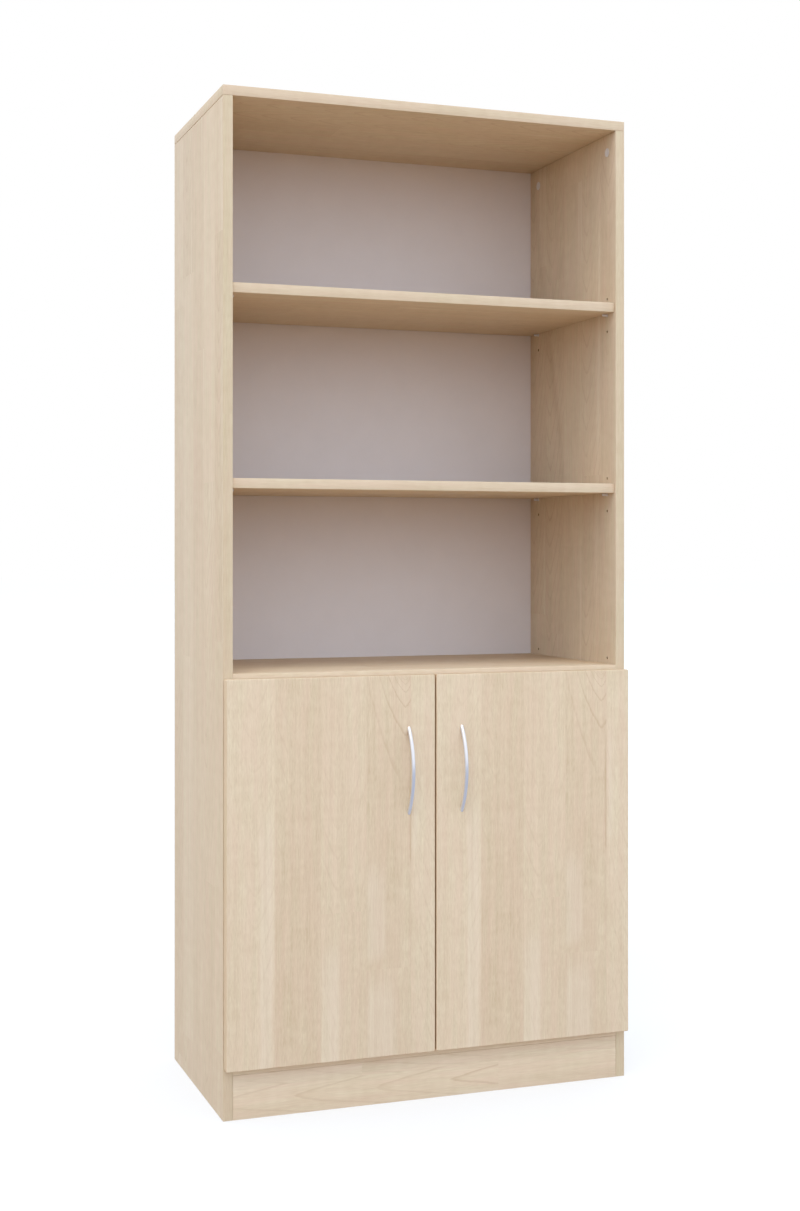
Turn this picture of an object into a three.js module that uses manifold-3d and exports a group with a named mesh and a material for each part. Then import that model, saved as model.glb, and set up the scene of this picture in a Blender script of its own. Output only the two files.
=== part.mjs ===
// A bookcase with three open compartments over a cabinet with two full-overlay doors.
// Millimetres, +Z up, X across the width, the front towards -Y.
// The origin is on the floor, at the centre of the whole object's width and depth.

import Module from 'manifold-3d';
import * as THREE from 'three';
import { mergeVertices } from 'three/addons/utils/BufferGeometryUtils.js';

const wasm = await Module();
wasm.setup();

// Boards of the carcass
const overallWidth = 800;
const sideDepth = 405;
const boardThickness = 18;
const backThickness = 3;
const backInset = 1.5;
const plinthHeight = 80;
const cabinetHeight = 684.5;
const openHeight = 334;
const cabinetShelfHeight = 332.5;
const shelfSetback = 6;
const cabinetShelfSetback = 40;
const shelfEndClearance = 0.8;
const shelfRearClearance = 2;

// Clearances: between seated pieces, and how far a cut runs past a face
const seatGap = 0.3;
const overrun = 2;

// Rows of holes for the shelf pins in the sides
const frontRowInset = 37;
const rearRowInset = 42;
const holePitch = 32;
const pinRadius = 2.5;
const pinReach = 10.5;
const pinEmbed = 8;
const pinChamfer = 0.6;

// Cam connectors that pull the top panel down onto the sides
const camInset = 35;
const camRadius = 7.2;
const camLength = 13.2;
const camSlotLength = 8;
const camSlotWidth = 1.6;
const camSlotDepth = 2.4;
const camCapRadius = 8.6;
const camCapThickness = 1;
const camCapRim = 0.4;
const boltHeadRadius = 3.2;
const boltHeadLength = 3.4;
const boltNeckRadius = 2.1;
const boltShankRadius = 3.4;
const boltShankLength = 20;
const boltThreadRadius = 2.7;
const boltThreadLength = 11;

// Doors
const doorThickness = 18;
const doorGap = 2;
const doorSideReveal = 1;
const doorMiddleGap = 3;
const doorTopOverlay = 9.6;
const doorBottomOverlay = 5.7;
const doorEdgeRadius = 1.5;
const doorCornerRadius = 3;

// Bow handles
const handleBarRadius = 3.6;
const handleLength = 164;
const handleRise = 23.4;
const handleEdgeInset = 51;
const handleTopInset = 94.4;

// Concealed cup hinges: where they sit, and the cup that is let into the door
const hingeEndInset = 100;
const cupEdgeInset = 20.5;
const cupRadius = 17.2;
const cupDepth = 12.4;
const cupWall = 1.3;
const cupFloor = 0.8;
const cupSlotHalf = 10;
const cupNotchDepth = 1.5;
const flangeRadius = 18.2;
const flangeThickness = 0.8;
const earSpacing = 48;
const earOffset = 5.5;
const earRadius = 6;
const earHoleRadius = 2.2;

// The four pivots. Two are on the arm, measured from the side's inner face and front edge, and two
// are in the cup, measured from the door's edge and rear face.
const armOuterRise = 19;
const armOuterSetback = 6.9;
const armInnerRise = 26;
const armInnerSetback = 5.6;
const cupOuterInset = 12.4;
const cupOuterDepth = 2.5;
const cupInnerInset = 15.4;
const cupInnerDepth = 8.6;

// Links: the inner one ends in a slot at the arm
const hingePinRadius = 1.1;
const eyeWall = 0.9;
const linkWaist = 1.6;
const slotTravel = 5.8;
const slotTurn = THREE.MathUtils.degToRad(29.2);
const slotSlack = 0.7;
const outerLinkHalf = 7.6;
const outerLinkSheet = 1.4;
const innerLinkHalf = 5.6;
const innerLinkSheet = 2;
const linkWebStartShare = 0.2;
const linkWebEndShare = 0.5;
const crankReach = 7.6;
const crankDrop = 0.3;
const crankRise = 11.1;
const crankRun = 9;

// The arm and the plate that it slides onto
const armHalf = 9.5;
const armSheet = 1.4;
const armRear = 64;
const armFront = 20;
const armBarRadius = 3.1;
const armNoseRadius = 3;
const armWebShare = 0.5;
const plateSheet = 2;
const plateHalf = 9;
const plateFront = 12;
const plateRear = 62;
const plateWingSpacing = 32;
const plateWingRadius = 7.5;
const plateHoleRadius = 2.6;
const saddleHalf = 7.6;

// How finely the round forms are divided
const pinSides = 8;
const camSides = 16;
const boltSides = 10;
const edgeSteps = 2;
const arcSteps = 2;
const handleSides = 10;
const handleSteps = 18;
const cupSides = 24;

// Heights that follow from the stack of compartments
const bottomTop = plinthHeight + boardThickness;
const cabinetShelfUnder = bottomTop + cabinetShelfHeight;
const fixedUnder = bottomTop + cabinetHeight;
const middleUnder = fixedUnder + boardThickness + openHeight;
const upperUnder = middleUnder + boardThickness + openHeight;
const topUnder = upperUnder + boardThickness + openHeight;
const overallHeight = topUnder + boardThickness;

// Depths: the side's front edge stands this far in front of the origin
const handleReach = handleRise + handleBarRadius;
const overallDepth = handleReach + doorThickness + doorGap + sideDepth + seatGap + backThickness;
const frontY = handleReach + doorThickness + doorGap - overallDepth / 2;
const rearRow = sideDepth - rearRowInset;
const rows = { front: frontRowInset, rear: rearRow };
const innerWidth = overallWidth - 2 * boardThickness;

const weldDistance = 1e-4;

const mapleFace = new THREE.MeshStandardMaterial({ color: 0xd9c6ab, roughness: 0.55, metalness: 0 });
const paleBoard = new THREE.MeshStandardMaterial({ color: 0xd8d2cc, roughness: 0.6, metalness: 0 });
const satinAluminium = new THREE.MeshStandardMaterial({ color: 0xd6d8dc, roughness: 0.32, metalness: 1 });
const nickelSteel = new THREE.MeshStandardMaterial({ color: 0xc6c6c4, roughness: 0.35, metalness: 1 });
const zincCast = new THREE.MeshStandardMaterial({ color: 0x9d9fa1, roughness: 0.45, metalness: 1 });
const whitePlastic = new THREE.MeshStandardMaterial({ color: 0xdedad6, roughness: 0.5, metalness: 0 });

// A closed geometry with its shared points merged, as a solid that can be cut and joined
function toSolid(geometry) {
  const bare = geometry.clone();
  bare.deleteAttribute('normal');
  bare.deleteAttribute('uv');
  const merged = mergeVertices(bare, weldDistance);
  const triangles = [];
  for (let i = 0; i < merged.index.count; i += 3) {
    const [a, b, c] = [0, 1, 2].map((k) => merged.index.getX(i + k));
    if (a !== b && b !== c && c !== a) triangles.push(a, b, c);
  }
  return new wasm.Manifold(new wasm.Mesh({
    numProp: 3,
    vertProperties: new Float32Array(merged.attributes.position.array),
    triVerts: new Uint32Array(triangles),
  }));
}

function toGeometry(body) {
  const mesh = body.getMesh();
  const geometry = new THREE.BufferGeometry();
  geometry.setAttribute('position', new THREE.BufferAttribute(mesh.vertProperties, 3));
  geometry.setIndex(new THREE.BufferAttribute(mesh.triVerts, 1));
  return geometry;
}

// The same geometry on the other side of X = 0, with its faces still pointing out
function mirrored(geometry) {
  const copy = geometry.index ? geometry.clone() : mergeVertices(geometry.clone(), weldDistance);
  copy.scale(-1, 1, 1);
  const index = copy.index;
  for (let i = 0; i < index.count; i += 3) {
    const [a, c] = [index.getX(i), index.getX(i + 2)];
    index.setX(i, c);
    index.setX(i + 2, a);
  }
  return copy;
}

// A block from its lowest and highest corners
function block(low, high) {
  const [width, depth, height] = high.map((value, k) => value - low[k]);
  const [x, y, z] = high.map((value, k) => (value + low[k]) / 2);
  return new THREE.BoxGeometry(width, depth, height).translate(x, y, z);
}

// Turns a geometry made along Z so that it lies along X or Y, starting at a point
const turns = {
  x: (geometry) => geometry.rotateY(Math.PI / 2),
  y: (geometry) => geometry.rotateX(-Math.PI / 2),
  z: (geometry) => geometry,
};

// A turned piece: its profile is a list of radius and height, from one end on the axis to the other
function turned(profile, sides, axis = 'z') {
  const points = profile.map(([radius, height]) => new THREE.Vector2(radius, height));
  const lathe = new THREE.LatheGeometry(points, sides).rotateX(Math.PI / 2);
  return turns[axis](lathe);
}

function rod(radius, length, sides, axis = 'z') {
  return turned([[0, 0], [radius, 0], [radius, length], [0, length]], sides, axis);
}

// Adds a named piece to a group, mirrored where the hand is -1
function place(group, name, geometry, material, position, hand = 1) {
  const shape = hand < 0 ? mirrored(geometry) : geometry;
  const piece = new THREE.Mesh(shape, material);
  piece.name = name;
  piece.position.set(position[0] * hand, position[1], position[2]);
  group.add(piece);
  return piece;
}

// Boards. Each half of the bookcase has its own frame: X from the side's outer face towards the
// middle, Y from the side's front edge towards the back, Z from the floor.

const pinLevels = {
  upper_shelf: upperUnder,
  middle_shelf: middleUnder,
  fixed_shelf: fixedUnder,
  cabinet_shelf: cabinetShelfUnder,
};
const pinDrop = seatGap + pinRadius;
const camCentre = topUnder - camInset;

function sidePanel() {
  const panel = block([0, 0, 0], [boardThickness, sideDepth, topUnder - seatGap]);
  let body = toSolid(panel);
  const holeStart = boardThickness - pinEmbed - seatGap;
  const hole = rod(pinRadius + seatGap, boardThickness - holeStart + overrun, pinSides, 'x');
  for (const row of Object.values(rows)) {
    for (const under of Object.values(pinLevels)) {
      for (const step of [-1, 0, 1]) {
        const height = under - pinDrop + step * holePitch;
        body = body.subtract(toSolid(hole.clone().translate(holeStart, row, height)));
      }
    }
    const boreStart = boardThickness - camLength - 2 * seatGap;
    const bore = rod(camRadius + seatGap, boardThickness - boreStart + overrun, camSides, 'x');
    body = body.subtract(toSolid(bore.translate(boreStart, row, camCentre)));
    const channel = rod(boltShankRadius + seatGap, camInset + overrun, boltSides);
    body = body.subtract(toSolid(channel.translate(boardThickness / 2, row, camCentre)));
  }
  return toGeometry(body);
}

function topPanel() {
  let body = toSolid(block([-overallWidth / 2, 0, 0], [overallWidth / 2, sideDepth, boardThickness]));
  const depth = boltThreadLength + seatGap;
  for (const row of Object.values(rows)) {
    for (const hand of [-1, 1]) {
      const x = hand * (overallWidth / 2 - boardThickness / 2);
      const hole = rod(boltThreadRadius + seatGap, depth + overrun, boltSides);
      body = body.subtract(toSolid(hole.translate(x, row, -overrun)));
    }
  }
  return toGeometry(body);
}

// A shelf between the sides, set back from their front edges
function shelfBoard(endClearance, setback, rearClearance) {
  const half = innerWidth / 2 - endClearance;
  return block([-half, setback, 0], [half, sideDepth - rearClearance, boardThickness]);
}

function backPanel() {
  const half = overallWidth / 2 - backInset;
  const start = sideDepth + seatGap;
  return block([-half, start, plinthHeight], [half, start + backThickness, overallHeight - backInset]);
}

function shelfPin() {
  const length = pinEmbed + pinReach;
  const tip = pinRadius - pinChamfer;
  const profile = [[0, 0], [tip, 0], [pinRadius, pinChamfer]];
  profile.push([pinRadius, length - pinChamfer], [tip, length], [0, length]);
  return turned(profile, pinSides, 'x');
}

// Cam connectors

function camHousing() {
  let body = toSolid(rod(camRadius, camLength, camSides, 'x'));
  const face = camLength;
  const [long, short] = [camSlotLength / 2, camSlotWidth / 2];
  for (const [halfY, halfZ] of [[long, short], [short, long]]) {
    const slot = block([face - camSlotDepth, -halfY, -halfZ], [face + overrun, halfY, halfZ]);
    body = body.subtract(toSolid(slot));
  }
  const boltX = boardThickness / 2 - (boardThickness - seatGap - camLength);
  const pocket = rod(boltHeadRadius + seatGap, camRadius + boltHeadLength + overrun, boltSides);
  body = body.subtract(toSolid(pocket.translate(boltX, 0, -boltHeadLength)));
  return toGeometry(body);
}

// The bolt runs from its head in the cam housing up through the side's edge into the top panel
function camBolt() {
  const shankTop = camInset - seatGap;
  const shankStart = shankTop - boltShankLength;
  const profile = [
    [0, -boltHeadLength + seatGap],
    [boltHeadRadius, -boltHeadLength + seatGap],
    [boltHeadRadius, 0],
    [boltNeckRadius, seatGap],
    [boltNeckRadius, shankStart],
    [boltShankRadius, shankStart + boltShankRadius - boltNeckRadius],
    [boltShankRadius, shankTop],
    [boltThreadRadius, shankTop],
    [boltThreadRadius, camInset + boltThreadLength - boltThreadRadius / 2],
    [boltThreadRadius / 2, camInset + boltThreadLength],
    [0, camInset + boltThreadLength],
  ];
  return turned(profile, boltSides);
}

function camCap() {
  const profile = [
    [0, 0],
    [camCapRadius, 0],
    [camCapRadius, camCapThickness - camCapRim],
    [camCapRadius - camCapRim, camCapThickness],
    [0, camCapThickness],
  ];
  return turned(profile, camSides, 'x');
}

// Doors and handles, still in the frame of the left half

const doorLeft = doorSideReveal;
const doorRight = overallWidth / 2 - doorMiddleGap / 2;
const doorLow = bottomTop - doorBottomOverlay;
const doorHigh = fixedUnder + doorTopOverlay;
const doorFront = -doorGap - doorThickness;

function roundedOutline(width, height, radius) {
  const outline = new THREE.Shape();
  const [x, y] = [width / 2 - radius, height / 2 - radius];
  outline.absarc(x, y, radius, 0, Math.PI / 2, false);
  outline.absarc(-x, y, radius, Math.PI / 2, Math.PI, false);
  outline.absarc(-x, -y, radius, Math.PI, 1.5 * Math.PI, false);
  outline.absarc(x, -y, radius, 1.5 * Math.PI, 2 * Math.PI, false);
  return outline;
}

// The door's own frame is centred on its rear face
function doorPanel() {
  const [width, height] = [doorRight - doorLeft, doorHigh - doorLow];
  const panel = new THREE.ExtrudeGeometry(roundedOutline(width, height, doorCornerRadius), {
    depth: doorThickness - 2 * doorEdgeRadius,
    bevelThickness: doorEdgeRadius,
    bevelSize: doorEdgeRadius,
    bevelOffset: -doorEdgeRadius,
    bevelSegments: edgeSteps,
    curveSegments: arcSteps,
  });
  let body = toSolid(panel.translate(0, 0, doorEdgeRadius).rotateX(Math.PI / 2));
  const depth = cupDepth + seatGap;
  const bore = rod(cupRadius + seatGap, depth + overrun, cupSides, 'y');
  for (const end of [-1, 1]) {
    const height = end * ((doorHigh - doorLow) / 2 - hingeEndInset);
    body = body.subtract(toSolid(bore.clone().translate(cupEdgeInset - width / 2, -depth, height)));
  }
  return toGeometry(body);
}

// A bar bent to an arc, cut flat where its ends meet the door
function bowHandle() {
  const squares = (handleLength / 2) ** 2 - handleBarRadius ** 2 + handleRise ** 2;
  const radius = squares / (2 * handleReach);
  const centre = radius - handleRise;
  const halfAngle = Math.acos((centre - 2 * handleBarRadius) / radius);
  class Bow extends THREE.Curve {
    getPoint(share, target = new THREE.Vector3()) {
      const angle = (2 * share - 1) * halfAngle;
      return target.set(0, centre - radius * Math.cos(angle), radius * Math.sin(angle));
    }
  }
  const section = new THREE.Shape();
  const halfSide = Math.PI / handleSides;
  section.absarc(0, 0, handleBarRadius, halfSide, 2 * Math.PI + halfSide, false);
  const bar = new THREE.ExtrudeGeometry(section, {
    steps: handleSteps,
    curveSegments: handleSides / 2,
    bevelEnabled: false,
    extrudePath: new Bow(),
  });
  const reach = handleLength;
  const doorSpace = block([-reach, -seatGap, -reach], [reach, reach, reach]);
  return toGeometry(toSolid(bar).subtract(toSolid(doorSpace)));
}

// Hinges. Their pieces are drawn in the half's frame, with Z from the hinge's middle.

const armOuter = [boardThickness + armOuterRise, armOuterSetback];
const armInner = [boardThickness + armInnerRise, armInnerSetback];
const cupOuter = [doorLeft + cupOuterInset, -doorGap - cupOuterDepth];
const cupInner = [doorLeft + cupInnerInset, -doorGap - cupInnerDepth];
const cupCentre = doorLeft + cupEdgeInset;
const eyeHole = hingePinRadius + seatGap;
const eyeRadius = eyeHole + eyeWall;

const along = ([ax, ay], [bx, by], share) => [ax + (bx - ax) * share, ay + (by - ay) * share];
const angleOf = ([ax, ay], [bx, by]) => Math.atan2(by - ay, bx - ax);
const offset = ([x, y], angle, distance) => [x + distance * Math.cos(angle), y + distance * Math.sin(angle)];

// The outline of a strap drawn tight round equal circles at points given anticlockwise
function strapOutline(points, radius) {
  const outline = new THREE.Shape();
  points.forEach((point, i) => {
    const before = points.at(i - 1);
    const after = points[(i + 1) % points.length];
    const start = angleOf(before, point) - Math.PI / 2;
    let end = angleOf(point, after) - Math.PI / 2;
    while (end < start) end += 2 * Math.PI;
    outline.absarc(point[0], point[1], radius, start, end, false);
  });
  return outline;
}

// An outline in X and Y made solid between two heights
function sheet(outline, low, high) {
  const settings = { depth: high - low, bevelEnabled: false, curveSegments: arcSteps };
  return toSolid(new THREE.ExtrudeGeometry(outline, settings).translate(0, 0, low));
}

function strap(points, radius, low, high) {
  return sheet(strapOutline(points, radius), low, high);
}

function boss([x, y], radius, low, high) {
  return toSolid(rod(radius, high - low, pinSides).translate(x, y, low));
}

// A slab laid along a line between two heights, from one distance beside it to another
function sideSlab(from, to, near, far, half) {
  const angle = angleOf(from, to);
  const length = Math.hypot(to[0] - from[0], to[1] - from[1]);
  const slab = block([0, near, -half], [length, far, half]).rotateZ(angle);
  return toSolid(slab.translate(from[0], from[1], 0));
}

function hingePlate() {
  const start = boardThickness + seatGap;
  const base = start + plateSheet;
  const lanes = [plateFront + plateHalf, plateRear - plateHalf];
  const spine = strapOutline([[lanes[0], 0], [lanes[1], 0]], plateHalf);
  const wings = [[frontRowInset, -plateWingSpacing / 2], [frontRowInset, plateWingSpacing / 2]];
  const cross = strapOutline(wings, plateWingRadius);
  let flat = sheet(spine, 0, plateSheet).add(sheet(cross, 0, plateSheet));
  for (const wing of wings) {
    flat = flat.subtract(boss(wing, plateHoleRadius, -overrun, plateSheet + overrun));
  }
  // Drawn flat, with X as the depth and its thickness up; it stands against the side
  const upright = toGeometry(flat).rotateX(Math.PI / 2).rotateZ(Math.PI / 2);
  const saddleTop = base + 2 * armBarRadius - armSheet;
  const saddle = block([base - seatGap, armFront, -saddleHalf], [saddleTop, plateRear, saddleHalf]);
  return toGeometry(toSolid(upright.translate(start, 0, 0)).add(toSolid(saddle)));
}

const armBarCentre = boardThickness + plateSheet + 2 * seatGap + armBarRadius;

function hingeArm() {
  const root = [armBarCentre, armFront];
  const end = [armBarCentre, armRear - armBarRadius];
  const nose = [armOuter, armInner, root];
  let body = strap(nose, armNoseRadius, -armHalf, armHalf);
  body = body.add(strap([root, end], armBarRadius, -armHalf, armHalf));
  const cheek = armHalf - armSheet;
  const reach = armRear;
  const hollow = block(
    [armBarCentre - reach, armFront, -cheek],
    [armBarCentre + armBarRadius - armSheet, armRear + overrun, cheek],
  );
  body = body.subtract(toSolid(hollow));
  const bend = along(root, armInner, armWebShare);
  const underWeb = sideSlab(armInner, root, -armNoseRadius + armSheet, reach, cheek);
  body = body.subtract(underWeb);
  const mouth = sideSlab(offset(armInner, angleOf(root, armInner), reach), bend, -reach, reach, cheek);
  body = body.subtract(mouth);
  for (const pivot of [armOuter, armInner]) {
    body = body.add(boss(pivot, hingePinRadius, -armHalf, armHalf));
  }
  return toGeometry(body);
}

// Two cheeks and the web that joins them on the side away from the inner link
function outerLink() {
  const half = outerLinkHalf;
  const line = [armOuter, cupOuter];
  const [from, to] = [linkWebStartShare, linkWebEndShare].map((share) => along(...line, share));
  let body = sideSlab(from, to, -eyeRadius, -eyeRadius + outerLinkSheet, half);
  for (const low of [-half, half - outerLinkSheet]) {
    body = body.add(strap(line, linkWaist, low, low + outerLinkSheet));
    for (const pivot of line) body = body.add(boss(pivot, eyeRadius, low, low + outerLinkSheet));
  }
  for (const pivot of line) body = body.subtract(boss(pivot, eyeHole, -half - overrun, half + overrun));
  return toGeometry(body);
}

// A strip rolled into an eye at the cup, cranked round the cup's other pivot, and slotted where it
// rides on the arm's pin
function innerLink() {
  const half = innerLinkHalf;
  const slotEnd = offset(armInner, angleOf(cupInner, armInner) + slotTurn, slotTravel);
  const slotLine = [slotEnd, armInner];
  const slotHole = hingePinRadius + slotSlack;
  const low = [cupInner[0] + crankReach, cupInner[1] - crankDrop];
  const high = [low[0] + crankRun, low[1] + crankRise];
  let body = boss(cupInner, eyeRadius, -half, half);
  for (const line of [[cupInner, low], [low, high], [high, armInner]]) {
    body = body.add(strap(line, innerLinkSheet / 2, -half, half));
  }
  body = body.add(strap(slotLine, slotHole + eyeWall, -half, half));
  body = body.subtract(boss(cupInner, eyeHole, -half - overrun, half + overrun));
  return toGeometry(body.subtract(strap(slotLine, slotHole, -half - overrun, half + overrun)));
}

// The cup stands on its flange's underside, with the pivots' pins across its slot
function hingeCup() {
  const face = -doorGap + seatGap;
  const floor = -doorGap - cupDepth;
  const wallTop = face + flangeThickness / 2;
  const shell = rod(cupRadius, wallTop - floor, cupSides, 'y').translate(cupCentre, floor, 0);
  const disc = rod(flangeRadius, flangeThickness, cupSides, 'y').translate(cupCentre, face, 0);
  const earX = cupCentre + earOffset;
  const ears = [[earX, -earSpacing / 2], [earX, earSpacing / 2]];
  const earStrip = toGeometry(strap(ears, earRadius, 0, flangeThickness)).rotateX(Math.PI / 2);
  const earPlate = toSolid(earStrip.translate(0, face + flangeThickness, 0));
  let body = toSolid(shell).add(toSolid(disc)).add(earPlate);
  const inside = cupRadius - cupWall;
  const depth = face + flangeThickness + overrun - floor - cupFloor;
  const room = rod(inside, depth, cupSides, 'y').translate(cupCentre, floor + cupFloor, 0);
  const lane = block(
    [cupCentre - cupRadius, floor, -cupSlotHalf],
    [cupCentre + cupRadius, face + flangeThickness + overrun, cupSlotHalf],
  );
  body = body.subtract(toSolid(room).intersect(toSolid(lane)));
  const notch = block(
    [cupCentre - cupRadius - overrun, -doorGap - cupNotchDepth, -cupSlotHalf],
    [cupCentre - inside / 2, face + flangeThickness + overrun, cupSlotHalf],
  );
  body = body.subtract(toSolid(notch));
  for (const [x, z] of ears) {
    const hole = rod(earHoleRadius, flangeThickness + 2 * overrun, pinSides, 'y');
    body = body.subtract(toSolid(hole.translate(x, face - overrun, z)));
  }
  const across = cupSlotHalf + seatGap;
  for (const pivot of [cupOuter, cupInner]) {
    body = body.add(boss(pivot, hingePinRadius, -across, across));
  }
  return toGeometry(body);
}

const bookcase = new THREE.Group();

const carcass = new THREE.Group();
carcass.position.set(0, frontY, 0);
bookcase.add(carcass);

place(carcass, 'top_panel', topPanel(), mapleFace, [0, 0, topUnder]);
place(carcass, 'fixed_shelf', shelfBoard(seatGap, 0, 0), mapleFace, [0, 0, fixedUnder]);
place(carcass, 'bottom_panel', shelfBoard(seatGap, 0, 0), mapleFace, [0, 0, plinthHeight]);
const plinth = block(
  [-innerWidth / 2 + seatGap, 0, 0],
  [innerWidth / 2 - seatGap, boardThickness, plinthHeight - seatGap],
);
place(carcass, 'plinth_board', plinth, mapleFace, [0, 0, 0]);
place(carcass, 'back_panel', backPanel(), paleBoard, [0, 0, 0]);
const looseShelf = shelfBoard(shelfEndClearance, shelfSetback, shelfRearClearance);
place(carcass, 'upper_shelf', looseShelf, mapleFace, [0, 0, upperUnder]);
place(carcass, 'middle_shelf', looseShelf, mapleFace, [0, 0, middleUnder]);
const cabinetShelf = shelfBoard(shelfEndClearance, cabinetShelfSetback, shelfRearClearance);
place(carcass, 'cabinet_shelf', cabinetShelf, mapleFace, [0, 0, cabinetShelfUnder]);

for (const [side, hand] of [['left', 1], ['right', -1]]) {
  const half = new THREE.Group();
  half.position.set(-hand * overallWidth / 2, frontY, 0);
  bookcase.add(half);

  place(half, `side_panel_${side}`, sidePanel(), mapleFace, [0, 0, 0], hand);
  for (const [rowName, row] of Object.entries(rows)) {
    const pinStart = boardThickness - pinEmbed;
    for (const shelf of ['upper_shelf', 'middle_shelf', 'cabinet_shelf']) {
      const name = `${shelf}_pin_${rowName}_${side}`;
      place(half, name, shelfPin(), nickelSteel, [pinStart, row, pinLevels[shelf] - pinDrop], hand);
    }
    const camAt = [boardThickness - seatGap - camLength, row, camCentre];
    place(half, `cam_housing_${rowName}_${side}`, camHousing(), zincCast, camAt, hand);
    const boltAt = [boardThickness / 2, row, camCentre];
    place(half, `cam_bolt_${rowName}_${side}`, camBolt(), nickelSteel, boltAt, hand);
    const capAt = [boardThickness + seatGap, row, camCentre];
    place(half, `cam_cap_${rowName}_${side}`, camCap(), whitePlastic, capAt, hand);
  }

  const doorCentre = [(doorLeft + doorRight) / 2, -doorGap, (doorLow + doorHigh) / 2];
  place(half, `door_${side}`, doorPanel(), mapleFace, doorCentre, hand);
  const hinges = { lower_hinge: doorLow + hingeEndInset, upper_hinge: doorHigh - hingeEndInset };
  for (const [hinge, height] of Object.entries(hinges)) {
    const at = [0, 0, height];
    place(half, `${hinge}_plate_${side}`, hingePlate(), nickelSteel, at, hand);
    place(half, `${hinge}_arm_${side}`, hingeArm(), nickelSteel, at, hand);
    place(half, `${hinge}_outer_link_${side}`, outerLink(), nickelSteel, at, hand);
    place(half, `${hinge}_inner_link_${side}`, innerLink(), nickelSteel, at, hand);
    place(half, `${hinge}_cup_${side}`, hingeCup(), nickelSteel, at, hand);
  }
  const handleHeight = doorHigh - handleTopInset - handleLength / 2;
  const handleAt = [doorRight - handleEdgeInset, doorFront, handleHeight];
  place(half, `handle_${side}`, bowHandle(), satinAluminium, handleAt, hand);
}

export default bookcase;
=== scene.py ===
import math

import bmesh
import bpy
from mathutils import Matrix, Vector


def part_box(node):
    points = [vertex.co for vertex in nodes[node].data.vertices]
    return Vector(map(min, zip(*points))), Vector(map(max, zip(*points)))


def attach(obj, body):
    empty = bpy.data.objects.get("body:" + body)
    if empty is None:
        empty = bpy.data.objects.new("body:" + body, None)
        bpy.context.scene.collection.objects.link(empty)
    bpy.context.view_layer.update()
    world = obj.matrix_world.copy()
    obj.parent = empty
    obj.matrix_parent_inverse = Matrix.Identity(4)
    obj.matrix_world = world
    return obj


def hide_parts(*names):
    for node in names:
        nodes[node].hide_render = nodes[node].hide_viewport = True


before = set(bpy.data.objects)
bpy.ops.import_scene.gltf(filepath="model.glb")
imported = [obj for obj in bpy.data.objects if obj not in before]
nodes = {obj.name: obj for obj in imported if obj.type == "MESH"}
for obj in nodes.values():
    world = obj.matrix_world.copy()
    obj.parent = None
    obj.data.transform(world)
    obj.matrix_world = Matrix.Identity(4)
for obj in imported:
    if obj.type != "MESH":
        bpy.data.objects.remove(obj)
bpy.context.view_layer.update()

sides = {"left": 1, "right": -1}  # the right half is the left one, mirrored
mm = 0.001
shift = Matrix.Translation
scene = bpy.context.scene


def onBothSides(build):
    for side, hand in sides.items():
        build(side, hand)


def newObject(name, data):
    made = bpy.data.objects.new(name, data)
    scene.collection.objects.link(made)
    return made


# Camera

camera = {
    "place": (-1.13944, -3.18007, 1.01888),
    "turnRight": 0.3451,  # radians from straight ahead
    "focalPixels": 1717.4359,
    "centrePixels": (401.1927, 552.2617),
    "imagePixels": (800, 1211),
    "sensorWidth": 36,
    "clipEnd": 60,
}


def makeCamera():
    data = bpy.data.cameras.new("camera")
    eye = newObject("camera", data)
    width, height = camera["imagePixels"]
    data.sensor_width = camera["sensorWidth"]
    data.lens = camera["focalPixels"] * data.sensor_width / height
    data.shift_x = (width / 2 - camera["centrePixels"][0]) / height
    data.shift_y = (camera["centrePixels"][1] - height / 2) / height
    data.clip_end = camera["clipEnd"]
    eye.location = camera["place"]
    eye.rotation_euler = (math.pi / 2, 0, -camera["turnRight"])
    scene.camera = eye


makeCamera()
print("camera set")

# Shader maths


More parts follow.
